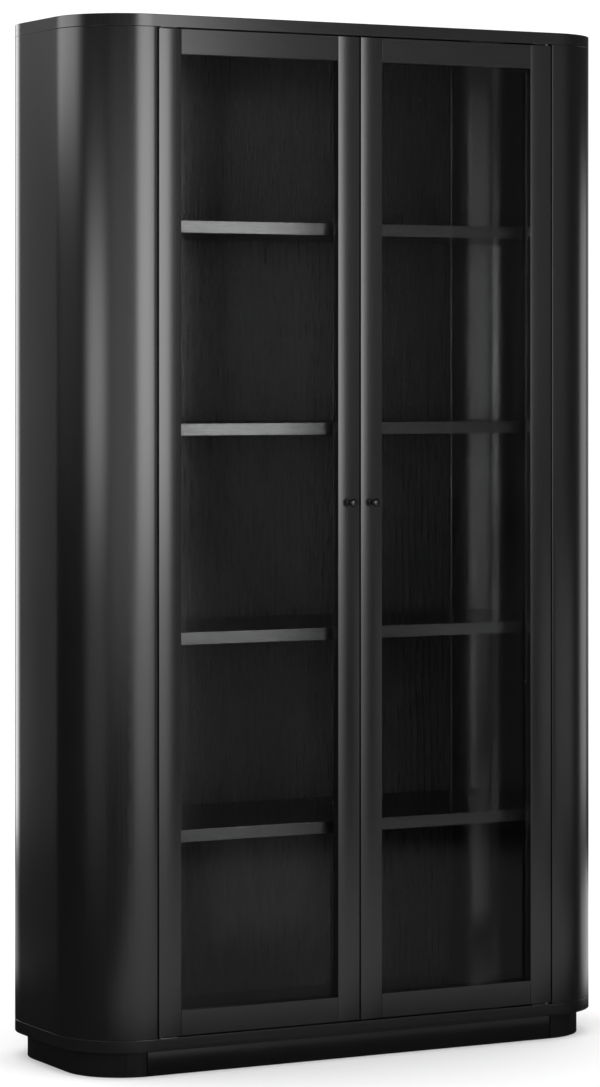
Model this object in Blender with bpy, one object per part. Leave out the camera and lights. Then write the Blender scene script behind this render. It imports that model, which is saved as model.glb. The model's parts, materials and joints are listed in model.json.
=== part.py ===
"""Curio cabinet: a tall rounded-end case with two glazed doors and four shelves.

Units are metres and +Z is up.  X runs across the front from left to right and the doors face -Y.
The origin is on the floor, under the middle of the whole object including the knobs.
"""
import math

import bmesh
import bpy
from mathutils import Matrix, Vector

# ---- Overall case -----------------------------------------------------------------------------
CASE_WIDTH = 1.240
CASE_DEPTH = 0.466
CASE_HEIGHT = 2.130
CORNER_RADIUS = 0.1475      # plan radius of the four vertical corners, outside
BOARD_THICK = 0.025         # top and bottom panels
SHELL_THICK = 0.020         # bent end shells
BACK_THICK = 0.018
TONGUE_THICK = 0.006        # tongue along each upright edge of the back panel
TONGUE_DEPTH = 0.008
FRONT_RETURN = 0.0095       # flat strip of shell between the bend and the doorway

# ---- Plinth -----------------------------------------------------------------------------------
PLINTH_HEIGHT = 0.053
PLINTH_INSET = 0.026
PLINTH_THICK = 0.018

# ---- Shelves ----------------------------------------------------------------------------------
SHELF_COUNT = 4
SHELF_THICK = 0.025
SHELF_CLEARANCE = 0.001     # between a shelf and the shells around it
LOW_SHELF = 2               # this shelf, counted from the bottom, sits below the even spacing
LOW_SHELF_DROP = 0.012
CLEAT_SIDE = 0.018          # square section of the shelf cleats
CLEAT_END_CLEARANCE = 0.012 # from a cleat's end to the start of the shell's bend

# ---- Doors ------------------------------------------------------------------------------------
DOOR_THICK = 0.025
DOOR_GAP = 0.003            # running gap round each door
MEETING_GAP = 0.003         # between the two doors
STILE_WIDTH = 0.050
RAIL_WIDTH = 0.050
GLASS_LIP = 0.016           # wood in front of the glass
GLASS_THICK = 0.004
REBATE_WIDTH = 0.008
GLASS_CLEARANCE = 0.0015    # round the pane, inside its rebate
TENON_LENGTH = 0.025
TENON_THICK = 0.008
TENON_SHOULDER = 0.007      # above and below each tenon
DOOR_BACK_CLEARANCE = 0.0025
STOP_THICK = 0.012          # door stop batten, behind the door
STOP_COVER = 0.020          # how far the batten reaches behind the door

# ---- Knife hinges -----------------------------------------------------------------------------
PIVOT_FROM_EDGE = 0.008     # hinge axis to the door's outer edge
PIVOT_FROM_FRONT = 0.006    # hinge axis to the door's front face
LEAF_MARGIN = 0.008         # wood left between a leaf's tail and the stile's inner edge
LEAF_WIDTH = 0.008
LEAF_THICK = 0.003
PIN_RADIUS = 0.002
COLLAR_RADIUS = 0.0035
PIN_CLEARANCE = 0.0001      # radial, pin in leaf
PIN_TIP = 0.001             # pin past the leaf
BORE_RELIEF = 0.0006        # radial, pin tip in the stile

# ---- Knobs and catches ------------------------------------------------------------------------
KNOB_HEIGHT = 1.145
KNOB_RADIUS = 0.0085
KNOB_PROJECTION = 0.024
KNOB_FOOT_RADIUS = 0.0065
KNOB_NECK_RADIUS = 0.0042
SCREW_RADIUS = 0.002
SCREW_HEAD_RADIUS = 0.004
SCREW_HEAD_THICK = 0.0025
SCREW_GRIP = 0.010          # screw length inside the knob
STRIKE_WIDTH = 0.030
STRIKE_HEIGHT = 0.014
STRIKE_THICK = 0.0012
STRIKE_FROM_MEETING = 0.012
STRIKE_FROM_TOP = 0.002
CATCH_DEPTH = 0.014
CATCH_HEIGHT = 0.020
CATCH_OVERHANG = 0.004      # catch body past each end of its strike plate
CATCH_AIR = 0.0005          # between catch and strike plate

# ---- Fits and facets --------------------------------------------------------------------------
TOUCH = 0.0003              # gap between pieces that touch
OVERCUT = 0.001             # how far a cutter passes the face it opens
ARC_STEPS = 14              # facets of a quarter bend
ROUND_STEPS = 24            # facets of a small turned piece

# ---- Levels and planes that follow from the sizes above ---------------------------------------
case_middle = KNOB_PROJECTION / 2
front = case_middle - CASE_DEPTH / 2
back = case_middle + CASE_DEPTH / 2
bend_start = CASE_WIDTH / 2 - CORNER_RADIUS
inner_side = CASE_WIDTH / 2 - SHELL_THICK
doorway_edge = bend_start - FRONT_RETURN
floor_top = PLINTH_HEIGHT + BOARD_THICK
ceiling = CASE_HEIGHT - BOARD_THICK
door_edge = doorway_edge - DOOR_GAP
door_inner = MEETING_GAP / 2
door_bottom = floor_top + DOOR_GAP
door_top = ceiling - DOOR_GAP
door_back = front + DOOR_THICK
stop_front = door_back + DOOR_BACK_CLEARANCE
shelf_front = stop_front + STOP_THICK + TOUCH
bay_height = (ceiling - floor_top - SHELF_COUNT * SHELF_THICK) / (SHELF_COUNT + 1)
pivot_x = door_edge - PIVOT_FROM_EDGE
pivot_y = front + PIVOT_FROM_FRONT
SIDES = {"left": -1, "right": 1}


def clear_scene():
    for obj in list(bpy.data.objects):
        bpy.data.objects.remove(obj, do_unlink=True)


def finish(name, colour, roughness, metallic=0.0, transmission=0.0):
    """One Principled material, with the values a plain render needs."""
    material = bpy.data.materials.new(name)
    material.use_nodes = True
    shader = material.node_tree.nodes["Principled BSDF"]
    shader.inputs["Base Color"].default_value = (*colour, 1.0)
    shader.inputs["Roughness"].default_value = roughness
    shader.inputs["Metallic"].default_value = metallic
    shader.inputs["Transmission Weight"].default_value = transmission
    material.diffuse_color = (*colour, 1.0)
    return material


# ---- Making solids ----------------------------------------------------------------------------
def place(name, mesh, location, material=None, parent=None):
    """Add a mesh as an object at a world location, under its hinge empty if it has one."""
    obj = bpy.data.objects.new(name, mesh)
    bpy.context.scene.collection.objects.link(obj)
    obj.parent = parent
    obj.location = Vector(location) - (parent.location if parent else Vector())
    if material:
        mesh.materials.append(material)
    return obj


def block(name, x_span, y_span, z_span, material=None, parent=None):
    """A rectangular board between two limits on each axis, its origin at its middle."""
    spans = [sorted(span) for span in (x_span, y_span, z_span)]
    size = [high - low for low, high in spans]
    middle = [(low + high) / 2 for low, high in spans]
    mesh = bpy.data.meshes.new(name)
    shape = bmesh.new()
    bmesh.ops.create_cube(shape, size=1.0)
    bmesh.ops.scale(shape, vec=size, verts=shape.verts)
    shape.to_mesh(mesh)
    shape.free()
    return place(name, mesh, middle, material, parent)


def prism(name, outline, z_span, material=None, parent=None, smooth=False):
    """A plan outline carried straight up between two heights."""
    low, high = sorted(z_span)
    offset = parent.location if parent else Vector()
    mesh = bpy.data.meshes.new(name)
    shape = bmesh.new()
    ring = [shape.verts.new((x - offset.x, y - offset.y, 0.0)) for x, y in outline]
    base = shape.faces.new(ring)
    raised = bmesh.ops.extrude_face_region(shape, geom=[base])
    lifted = [item for item in raised["geom"] if isinstance(item, bmesh.types.BMVert)]
    bmesh.ops.translate(shape, vec=(0.0, 0.0, high - low), verts=lifted)
    bmesh.ops.recalc_face_normals(shape, faces=shape.faces)
    shape.to_mesh(mesh)
    shape.free()
    if smooth:
        mesh.shade_smooth()
        mesh.set_sharp_from_angle(angle=math.radians(30))
    return place(name, mesh, (offset.x, offset.y, low), material, parent)


def turned(name, profile, location, turn, material=None, parent=None):
    """A profile of (radius, height) points spun round its own axis, which turn then points."""
    mesh = bpy.data.meshes.new(name)
    shape = bmesh.new()
    chain = [shape.verts.new((radius, 0.0, height)) for radius, height in profile]
    edges = [shape.edges.new(pair) for pair in zip(chain, chain[1:])]
    bmesh.ops.spin(shape, geom=chain + edges, cent=(0, 0, 0), axis=(0, 0, 1),
                   angle=math.tau, steps=ROUND_STEPS, use_duplicate=False)
    bmesh.ops.remove_doubles(shape, verts=shape.verts, dist=0.00001)
    bmesh.ops.recalc_face_normals(shape, faces=shape.faces)
    bmesh.ops.transform(shape, matrix=turn, verts=shape.verts)
    shape.to_mesh(mesh)
    shape.free()
    mesh.shade_smooth()
    mesh.set_sharp_from_angle(angle=math.radians(40))
    return place(name, mesh, location, material, parent)


def combine(obj, other, operation):
    """Add a live exact Boolean; the other object becomes a wire guide."""
    other.hide_render = True
    other.display_type = 'WIRE'
    modifier = obj.modifiers.new(other.name, 'BOOLEAN')
    modifier.operation = operation
    modifier.solver = 'EXACT'
    modifier.object = other
    return obj


def cut(obj, *cutters):
    for cutter in cutters:
        combine(obj, cutter, 'DIFFERENCE')
    return obj


def fuse(obj, *others):
    for other in others:
        combine(obj, other, 'UNION')
    return obj


def bend(middle, radius, start, end, steps=ARC_STEPS):
    """Points along an arc, angles in degrees, both ends included."""
    angles = [math.radians(start + (end - start) * step / steps) for step in range(steps + 1)]
    return [(middle[0] + radius * math.cos(a), middle[1] + radius * math.sin(a)) for a in angles]


def mirrored(outline, side):
    """An outline drawn for the right-hand side, or its mirror image on the left."""
    return outline if side > 0 else [(-x, y) for x, y in reversed(outline)]


def span(side, inner, outer):
    """An X range measured outwards from the middle of the cabinet."""
    return sorted((side * inner, side * outer))


def rounded_plan(inset):
    """The case's plan outline, moved inwards all round by an inset."""
    radius = CORNER_RADIUS - inset
    low, high = front + CORNER_RADIUS, back - CORNER_RADIUS
    return (bend((bend_start, low), radius, -90, 0) + bend((bend_start, high), radius, 0, 90)
            + bend((-bend_start, high), radius, 90, 180) + bend((-bend_start, low), radius, 180, 270))


# ---- Hinge hardware ---------------------------------------------------------------------------
def knife_outline(side, grow=0.0):
    """Plan of a knife-hinge leaf: round at the pin, straight towards the door's middle."""
    half = LEAF_WIDTH / 2 + grow
    tail = door_edge - STILE_WIDTH + LEAF_MARGIN - grow
    outline = [(tail, pivot_y - half)] + bend((pivot_x, pivot_y), half, -90, 90) + [(tail, pivot_y + half)]
    return mirrored(outline, side)


def pin_profile(collar):
    """Collar and pin as one turned piece, starting inside the plate."""
    root = -LEAF_THICK / 2
    length = DOOR_GAP + LEAF_THICK + PIN_TIP
    return [(0, root), (COLLAR_RADIUS, root), (COLLAR_RADIUS, collar), (PIN_RADIUS, collar),
            (PIN_RADIUS, length), (0, length)]


def rod(name, radius, location, reach, parent=None):
    """A plain round cutter along Z, between two heights from its location."""
    low, high = reach
    profile = [(0, low), (radius, low), (radius, high), (0, high)]
    return turned(name, profile, location, Matrix.Identity(4), parent=parent)


def hinge(side_name, level, board, stile, axis_empty):
    """A knife hinge: pinned plate let into the board, leaf let into the end of the stile."""
    side = SIDES[side_name]
    up = 1 if level == "bottom" else -1
    board_face = floor_top if level == "bottom" else ceiling
    stile_end = door_bottom if level == "bottom" else door_top
    name = f"{side_name}_{level}"
    axis_point = (side * pivot_x, pivot_y)
    turn = Matrix.Identity(4) if up > 0 else Matrix.Rotation(math.pi, 4, 'X')

    plate = prism(f"{name}_pivot", knife_outline(side), (board_face, board_face - up * LEAF_THICK),
                  steel, smooth=True)
    pin = turned(f"{name}_pin_form", pin_profile(DOOR_GAP - TOUCH), (*axis_point, board_face), turn)
    fuse(plate, pin)
    pocket = prism(f"{name}_board_pocket", knife_outline(side, TOUCH),
                   (board_face + up * OVERCUT, board_face - up * (LEAF_THICK + TOUCH)))
    cut(board, pocket)

    leaf = prism(f"{name}_leaf", knife_outline(side), (stile_end, stile_end + up * LEAF_THICK),
                 steel, axis_empty, smooth=True)
    reach = sorted((-up * OVERCUT, up * (LEAF_THICK + OVERCUT)))
    cut(leaf, rod(f"{name}_leaf_bore", PIN_RADIUS + PIN_CLEARANCE, (*axis_point, stile_end), reach,
                  axis_empty))
    recess = prism(f"{name}_stile_pocket", knife_outline(side, TOUCH),
                   (stile_end - up * OVERCUT, stile_end + up * (LEAF_THICK + TOUCH)), None, axis_empty)
    reach = sorted((up * LEAF_THICK / 2, up * (LEAF_THICK + PIN_TIP + OVERCUT)))
    relief = rod(f"{name}_pin_relief", PIN_RADIUS + BORE_RELIEF, (*axis_point, stile_end), reach, axis_empty)
    cut(stile, recess, relief)


# ---- Doors ------------------------------------------------------------------------------------
def rail_with_tenons(name, side, z_span, axis_empty):
    """A rail between the stiles, and the grown copy of its tenons that cuts the mortises."""
    low, high = z_span
    inner = door_inner + STILE_WIDTH
    outer = door_edge - STILE_WIDTH
    tenon_front = front + (GLASS_LIP - TENON_THICK) / 2
    rail = block(name, span(side, inner + TOUCH, outer - TOUCH), (front, door_back), z_span,
                 veneer, axis_empty)
    tenon = block(f"{name}_tenon_form", span(side, inner - TENON_LENGTH, outer + TENON_LENGTH),
                  (tenon_front, tenon_front + TENON_THICK), (low + TENON_SHOULDER, high - TENON_SHOULDER),
                  None, axis_empty)
    reach = TENON_LENGTH + TOUCH
    mortise = block(f"{name}_mortise_cutter", span(side, inner - reach, outer + reach),
                    (tenon_front - TOUCH, tenon_front + TENON_THICK + TOUCH),
                    (low + TENON_SHOULDER - TOUCH, high - TENON_SHOULDER + TOUCH), None, axis_empty)
    return fuse(rail, tenon), mortise


def door(side_name, bottom_board, top_board):
    """One glazed door: mortised frame, pane, four beads, knob, screw, leaves and strike plate."""
    side = SIDES[side_name]
    axis_empty = bpy.data.objects.new(f"{side_name}_door_axis", None)
    bpy.context.scene.collection.objects.link(axis_empty)
    axis_empty.location = (side * pivot_x, pivot_y, door_bottom)
    pre = f"{side_name}_door"
    inner = door_inner + STILE_WIDTH
    outer = door_edge - STILE_WIDTH
    sill = door_bottom + RAIL_WIDTH
    head = door_top - RAIL_WIDTH
    y_frame = (front, door_back)

    top_rail, top_mortise = rail_with_tenons(f"{pre}_top_rail", side, (head, door_top), axis_empty)
    bottom_rail, bottom_mortise = rail_with_tenons(f"{pre}_bottom_rail", side, (door_bottom, sill), axis_empty)
    outer_stile = block(f"{pre}_outer_stile", span(side, outer, door_edge), y_frame,
                        (door_bottom, door_top), veneer, axis_empty)
    inner_stile = block(f"{pre}_inner_stile", span(side, door_inner, inner), y_frame,
                        (door_bottom, door_top), veneer, axis_empty)
    rebate = block(f"{pre}_rebate_cutter", span(side, inner - REBATE_WIDTH, outer + REBATE_WIDTH),
                   (front + GLASS_LIP, door_back + OVERCUT), (sill - REBATE_WIDTH, head + REBATE_WIDTH),
                   None, axis_empty)
    for stile in (outer_stile, inner_stile):
        cut(stile, top_mortise, bottom_mortise, rebate)
    cut(top_rail, rebate)
    cut(bottom_rail, rebate)

    glazing(pre, side, (inner, outer), (sill, head), axis_empty)
    knob(pre, side * (door_inner + STILE_WIDTH / 2), inner_stile, axis_empty)
    strike_inner = door_inner + STRIKE_FROM_MEETING
    strike_top = door_top - STRIKE_FROM_TOP
    block(f"{pre}_strike_plate", span(side, strike_inner, strike_inner + STRIKE_WIDTH),
          (door_back + TOUCH, door_back + TOUCH + STRIKE_THICK), (strike_top - STRIKE_HEIGHT, strike_top),
          steel, axis_empty)
    hinge(side_name, "bottom", bottom_board, outer_stile, axis_empty)
    hinge(side_name, "top", top_board, outer_stile, axis_empty)


def glazing(pre, side, x_open, z_open, axis_empty):
    """The pane in its rebate, held from behind by four beads."""
    margin = REBATE_WIDTH - GLASS_CLEARANCE
    pane_front = front + GLASS_LIP + TOUCH
    pane_back = pane_front + GLASS_THICK
    block(f"{pre}_glass", span(side, x_open[0] - margin, x_open[1] + margin), (pane_front, pane_back),
          (z_open[0] - margin, z_open[1] + margin), glass, axis_empty)

    y_bead = (pane_back + TOUCH, door_back)
    wall = REBATE_WIDTH - TOUCH                    # bead face against the rebate's wall
    x_low, x_high = x_open[0] - wall, x_open[1] + wall
    z_low, z_high = z_open[0] - wall, z_open[1] + wall
    uprights = {"inner": (x_low, x_open[0] - TOUCH), "outer": (x_open[1] + TOUCH, x_high)}
    for where, (near, far) in uprights.items():
        block(f"{pre}_{where}_bead", span(side, near, far), y_bead, (z_low, z_high), veneer, axis_empty)
    levels = {"bottom": (z_low, z_open[0] - TOUCH), "top": (z_open[1] + TOUCH, z_high)}
    for where, z_span in levels.items():
        block(f"{pre}_{where}_bead", span(side, x_open[0], x_open[1]), y_bead, z_span, veneer, axis_empty)


def knob(pre, x, stile, axis_empty):
    """A turned knob on the meeting stile, held by a screw from behind."""
    toward_front = Matrix.Rotation(math.pi / 2, 4, 'X')
    head_rise = KNOB_PROJECTION - TOUCH
    bulge = KNOB_RADIUS * 0.75                      # half height of the rounded head
    middle = head_rise - bulge
    bore = SCREW_RADIUS + TOUCH
    dome = [(KNOB_RADIUS * math.cos(a), middle + bulge * math.sin(a))
            for a in [math.radians(angle) for angle in range(-50, 91, 14)]]
    foot = [(0, SCREW_GRIP + TOUCH), (bore, SCREW_GRIP + TOUCH), (bore, 0), (KNOB_FOOT_RADIUS, 0),
            (KNOB_FOOT_RADIUS, 0.002), (KNOB_NECK_RADIUS, 0.004), (KNOB_NECK_RADIUS, 0.008)]
    turned(f"{pre}_knob", foot + dome + [(0, head_rise)], (x, front - TOUCH, KNOB_HEIGHT),
           toward_front, bronze, axis_empty)

    seat = DOOR_THICK - SCREW_HEAD_THICK            # depth of the screw head's seat, from the front
    profile = [(0, SCREW_GRIP), (SCREW_RADIUS, SCREW_GRIP), (SCREW_RADIUS, -seat),
               (SCREW_HEAD_RADIUS, -seat), (SCREW_HEAD_RADIUS, -DOOR_THICK), (0, -DOOR_THICK)]
    turned(f"{pre}_knob_screw", profile, (x, front - TOUCH, KNOB_HEIGHT), toward_front, steel, axis_empty)
    hole = [(0, OVERCUT), (bore, OVERCUT), (bore, -seat + TOUCH),
            (SCREW_HEAD_RADIUS + TOUCH, -seat + TOUCH), (SCREW_HEAD_RADIUS + TOUCH, -DOOR_THICK - OVERCUT),
            (0, -DOOR_THICK - OVERCUT)]
    cut(stile, turned(f"{pre}_knob_bore", hole, (x, front, KNOB_HEIGHT), toward_front, None, axis_empty))


# ---- Case -------------------------------------------------------------------------------------
def shell(side_name):
    """A bent end shell: short return at the front, flat side, and a grooved edge at the back."""
    radius = CORNER_RADIUS
    inner_radius = radius - SHELL_THICK
    low, high = (bend_start, front + radius), (bend_start, back - radius)
    tongue_back = back - (BACK_THICK - TONGUE_THICK) / 2 + TOUCH
    tongue_front = tongue_back - TONGUE_THICK - 2 * TOUCH
    groove_end = bend_start + TONGUE_DEPTH + TOUCH
    groove = [(bend_start, tongue_back), (groove_end, tongue_back),
              (groove_end, tongue_front), (bend_start, tongue_front)]
    outline = ([(doorway_edge, front)] + bend(low, radius, -90, 0) + bend(high, radius, 0, 90) + groove
               + bend(high, inner_radius, 90, 0) + bend(low, inner_radius, 0, -90)
               + [(doorway_edge, front + SHELL_THICK)])
    prism(f"{side_name}_shell", mirrored(outline, SIDES[side_name]),
          (floor_top + TOUCH, ceiling - TOUCH), veneer, smooth=True)


def stop_batten(side_name):
    """The upright behind each shell's front edge that the door closes against."""
    cover = doorway_edge - STOP_COVER
    outer = bend_start - TOUCH
    rear = stop_front + STOP_THICK
    outline = [(cover, stop_front), (doorway_edge, stop_front), (doorway_edge, front + SHELL_THICK + TOUCH),
               (outer, front + SHELL_THICK + TOUCH), (outer, rear), (cover, rear)]
    prism(f"{side_name}_stop_batten", mirrored(outline, SIDES[side_name]),
          (floor_top + TOUCH, ceiling - TOUCH), veneer)


def back_panel():
    """The back board, tongued into both shells."""
    edge = bend_start - TOUCH
    tip = bend_start + TONGUE_DEPTH
    step = (BACK_THICK - TONGUE_THICK) / 2
    right = [(edge, back - BACK_THICK), (edge, back - BACK_THICK + step), (tip, back - BACK_THICK + step),
             (tip, back - step), (edge, back - step), (edge, back)]
    prism("back_panel", right + mirrored(right, -1), (floor_top + TOUCH, ceiling - TOUCH), veneer)


def shelf_outline():
    """The inside of the shells less a clearance, cut straight behind the door stops."""
    radius = CORNER_RADIUS - SHELL_THICK - SHELF_CLEARANCE
    low, high = (bend_start, front + CORNER_RADIUS), (bend_start, back - CORNER_RADIUS)
    start = -math.degrees(math.asin((low[1] - shelf_front) / radius))
    right = bend(low, radius, start, 0) + bend(high, radius, 0, 90)
    return right + mirrored(right, -1)


def shelves():
    """Four shelves on cleats fixed to the flat sides of the shells."""
    flat = CASE_DEPTH / 2 - CORNER_RADIUS - CLEAT_END_CLEARANCE
    for number in range(1, SHELF_COUNT + 1):
        top = floor_top + number * (bay_height + SHELF_THICK)
        if number == LOW_SHELF:
            top -= LOW_SHELF_DROP
        bottom = top - SHELF_THICK
        prism(f"shelf_{number}", shelf_outline(), (bottom, top), veneer, smooth=True)
        for side_name, side in SIDES.items():
            block(f"shelf_{number}_{side_name}_cleat",
                  span(side, inner_side - TOUCH - CLEAT_SIDE, inner_side - TOUCH),
                  (case_middle - flat, case_middle + flat),
                  (bottom - TOUCH - CLEAT_SIDE, bottom - TOUCH), veneer)


def plinth():
    """A set-back base: straight front and back rails between two bent ends."""
    outer_radius = CORNER_RADIUS - PLINTH_INSET
    inner_radius = outer_radius - PLINTH_THICK
    low, high = (bend_start, front + CORNER_RADIUS), (bend_start, back - CORNER_RADIUS)
    end = (bend(low, outer_radius, -90, 0) + bend(high, outer_radius, 0, 90)
           + bend(high, inner_radius, 90, 0) + bend(low, inner_radius, 0, -90))
    height = (0.0, PLINTH_HEIGHT - TOUCH)
    for side_name, side in SIDES.items():
        prism(f"plinth_{side_name}_end", mirrored(end, side), height, veneer, smooth=True)
    reach = bend_start - TOUCH
    face = front + PLINTH_INSET
    block("plinth_front_rail", (-reach, reach), (face, face + PLINTH_THICK), height, veneer)
    face = back - PLINTH_INSET
    block("plinth_back_rail", (-reach, reach), (face - PLINTH_THICK, face), height, veneer)


def catch(side_name):
    """A magnetic catch under the top panel, facing the door's strike plate."""
    inner = door_inner + STRIKE_FROM_MEETING - CATCH_OVERHANG
    face = door_back + TOUCH + STRIKE_THICK + CATCH_AIR
    block(f"{side_name}_catch", span(SIDES[side_name], inner, inner + STRIKE_WIDTH + 2 * CATCH_OVERHANG),
          (face, face + CATCH_DEPTH), (ceiling - TOUCH - CATCH_HEIGHT, ceiling - TOUCH), plastic)


clear_scene()
veneer = finish("black_stained_veneer", (0.021, 0.021, 0.022), 0.42)
glass = finish("clear_glass", (0.92, 0.95, 0.94), 0.03, transmission=1.0)
bronze = finish("blackened_bronze", (0.06, 0.055, 0.05), 0.35, metallic=1.0)
steel = finish("hinge_steel", (0.30, 0.30, 0.31), 0.38, metallic=1.0)
plastic = finish("black_catch_plastic", (0.03, 0.03, 0.03), 0.55)

plinth()
bottom_panel = prism("bottom_panel", rounded_plan(0.0), (PLINTH_HEIGHT, floor_top), veneer, smooth=True)
top_panel = prism("top_panel", rounded_plan(0.0), (ceiling, CASE_HEIGHT), veneer, smooth=True)
back_panel()
shelves()
for case_side in SIDES:
    shell(case_side)
    stop_batten(case_side)
    catch(case_side)
    door(case_side, bottom_panel, top_panel)
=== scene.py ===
# %% [markdown]
# # A curio cabinet in black veneer
# This is a tall, shallow display case: four bent corners, two glazed doors, four shelves and a set-back
# plinth. A joiner makes it from boards and bent plywood, covers everything in veneer, stains it black and
# sprays it with a satin lacquer. The working model already fixes every size and every hinge. This script
# gives it its looks, and takes its places from that model.

# %% Load the working model
import json
import math

import bpy
import numpy as np
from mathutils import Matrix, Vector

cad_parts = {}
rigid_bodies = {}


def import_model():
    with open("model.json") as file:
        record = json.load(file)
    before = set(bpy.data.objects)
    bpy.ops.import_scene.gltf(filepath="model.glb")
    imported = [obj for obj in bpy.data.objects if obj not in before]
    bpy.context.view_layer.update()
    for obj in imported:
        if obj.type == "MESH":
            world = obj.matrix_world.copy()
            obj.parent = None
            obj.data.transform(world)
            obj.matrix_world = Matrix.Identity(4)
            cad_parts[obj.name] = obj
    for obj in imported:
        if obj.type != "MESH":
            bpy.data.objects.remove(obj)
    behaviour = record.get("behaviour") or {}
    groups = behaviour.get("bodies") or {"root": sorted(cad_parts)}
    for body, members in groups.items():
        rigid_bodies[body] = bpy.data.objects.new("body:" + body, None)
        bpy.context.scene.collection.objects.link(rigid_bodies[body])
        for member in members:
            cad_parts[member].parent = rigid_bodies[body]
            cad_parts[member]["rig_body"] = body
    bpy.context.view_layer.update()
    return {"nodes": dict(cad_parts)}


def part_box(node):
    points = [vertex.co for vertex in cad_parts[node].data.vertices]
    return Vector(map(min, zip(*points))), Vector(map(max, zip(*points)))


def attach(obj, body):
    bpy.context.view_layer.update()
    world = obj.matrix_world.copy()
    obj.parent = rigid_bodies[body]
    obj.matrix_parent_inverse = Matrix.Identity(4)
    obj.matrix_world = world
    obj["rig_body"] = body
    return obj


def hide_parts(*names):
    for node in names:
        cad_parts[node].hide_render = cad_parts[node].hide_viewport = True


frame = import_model()


def box(node_name):
    """The lowest and highest corners of a node of the working model, as two arrays in metres."""
    low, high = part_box(node_name)
    return np.array(low), np.array(high)


# %% [markdown]
# ## Lines with soft corners
# No board on a real cabinet has a sharp edge. Sandpaper takes off half a millimetre, and that narrow
# curve catches the light and shows where one board ends. A Bevel modifier could do it, but nearly every
# piece here is a flat outline pushed along an axis, so the rounded outline is written down once, as a
# function of how far it shrinks. Shrinking it is then all that is needed to round the ends as well.


# %% A closed outline that can shrink
def rounded(corners, radii, faces=3):
    """An outline with an arc in each square corner, as a function of how far it shrinks.

    Between the unit directions a (arriving) and b (leaving) of corner P with radius r, the arc's centre is
    C = P - r a + r b, and its points are C + s (a sin t - b cos t) for t from 0 to 90 degrees. Shrinking by d
    leaves C where it is and makes s = r - d where the line turns left, and s = r + d where it turns right.
    """
    corners = np.array(corners, float)
    radii = np.broadcast_to(np.array(radii, float), len(corners))
    faces = np.broadcast_to(faces, len(corners))
    x, y = corners.T
    if np.sum(x * np.roll(y, -1) - y * np.roll(x, -1)) < 0:
        corners, radii, faces = corners[::-1], radii[::-1], faces[::-1]
    leaving = np.roll(corners, -1, axis=0) - corners
    leaving /= np.linalg.norm(leaving, axis=1)[:, None]
    arriving = np.roll(leaving, 1, axis=0)
    turn = np.sign(arriving[:, 0] * leaving[:, 1] - arriving[:, 1] * leaving[:, 0])

    def line(shrink):
        shrink = np.atleast_1d(shrink)[:, None, None]
        arcs = []
        for p, r, n, a, b, side in zip(corners, radii, faces, arriving, leaving, turn):
            t = np.linspace(0, math.pi / 2, n + 1)[None, :, None]
            arcs.append(p - r * a + r * b + (r - side * shrink) * (a * np.sin(t) - b * np.cos(t)))
        return np.concatenate(arcs, axis=1)

    return line


def rectangle(low, high, radius):
    """A rectangle between two corners of a plane, with the same small radius all round."""
    return rounded([low, (high[0], low[1]), high, (low[0], high[1])], radius)


print("a bar's outline has", rectangle((0, 0), (0.05, 0.025), 0.001)(0).shape[1], "points")

# %% [markdown]
# ## From outline to solid
# A board is its outline repeated at several heights. Near each end the outline shrinks along a quarter
# circle, which rounds the arris. One more ring just inside each flat keeps the smooth shading of the
# arris from spreading over the flat. The same rings make a bar, a shelf, a pane of glass and a bent side.
#
# Veneer needs to know which way its grain runs, so every piece carries its own wood coordinates in an
# attribute named "wood": across the leaf, into the leaf and along the grain, in metres. Each piece is
# shifted by its own amount, as if each leaf came from another part of the tree.

# %% Rings to mesh
TURNS = {"x": 1, "y": 2, "z": 0}       # places that (across, up, along) move round to become (x, y, z)
FLAT_RING = 1.5                        # the ring inside a flat lies this many easings in from its edge
LEAF_STEP = (0.37, 0.013, 0.71)        # from one leaf to the next in the tree, in metres
LEAF_ROOM = (0.16, 0.05, 1.9)          # the part of the tree that leaves are cut from
LEAF_START = (-0.08, -0.02, -0.6)      # its lowest corner
leaves_cut = 0


def stations(low, high, ease):
    """(shrink, height) of each ring: a quarter circle of radius ease at each end, and a ring in each flat."""
    t = np.linspace(0, math.pi / 2, 4)
    shrink = np.concatenate([[FLAT_RING * ease], ease * (1 - np.sin(t)), [0]])
    rise = np.concatenate([[0], ease * (1 - np.cos(t)), [(FLAT_RING + 0.1) * ease]])
    return np.concatenate([shrink, shrink[::-1]]), np.concatenate([low + rise, high - rise[::-1]])


def stacked(flat, height, axis):
    """Rings in space from flat outlines and the height of each along an axis."""
    along = np.broadcast_to(height[:, None, None], flat.shape[:2] + (1,))
    return np.roll(np.concatenate([flat, along], axis=2), TURNS[axis], axis=2)


def swept(line, low, high, axis, ease):
    """Rings of an outline that lies square to an axis, from low to high along it, with both ends eased."""
    shrink, height = stations(low, high, ease)
    return stacked(line(shrink), height, axis)


def skin(name, rings, wood=None):
    """A closed mesh over rings of equal length: quads between neighbours, and a flat face on each end."""
    count, around = rings.shape[:2]
    grid = np.arange(count * around).reshape(count, around)
    here, above = grid[:-1], grid[1:]
    quads = np.stack([here, np.roll(here, -1, 1), np.roll(above, -1, 1), above], axis=-1).reshape(-1, 4)
    mesh = bpy.data.meshes.new(name)
    mesh.from_pydata(rings.reshape(-1, 3), [], quads.tolist() + [grid[0, ::-1].tolist(), grid[-1].tolist()])
    mesh.shade_smooth()
    if wood is not None:
        layer = mesh.attributes.new("wood", "FLOAT_VECTOR", "POINT")
        layer.data.foreach_set("vector", np.ascontiguousarray(wood, np.float32).reshape(-1))
    piece = bpy.data.objects.new(name, mesh)
    bpy.context.scene.collection.objects.link(piece)
    return piece


def leaf_shift():
    """Where the next leaf of veneer comes from in the tree."""
    global leaves_cut
    leaves_cut += 1
    return np.array(LEAF_STEP) * leaves_cut % LEAF_ROOM + LEAF_START


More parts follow.
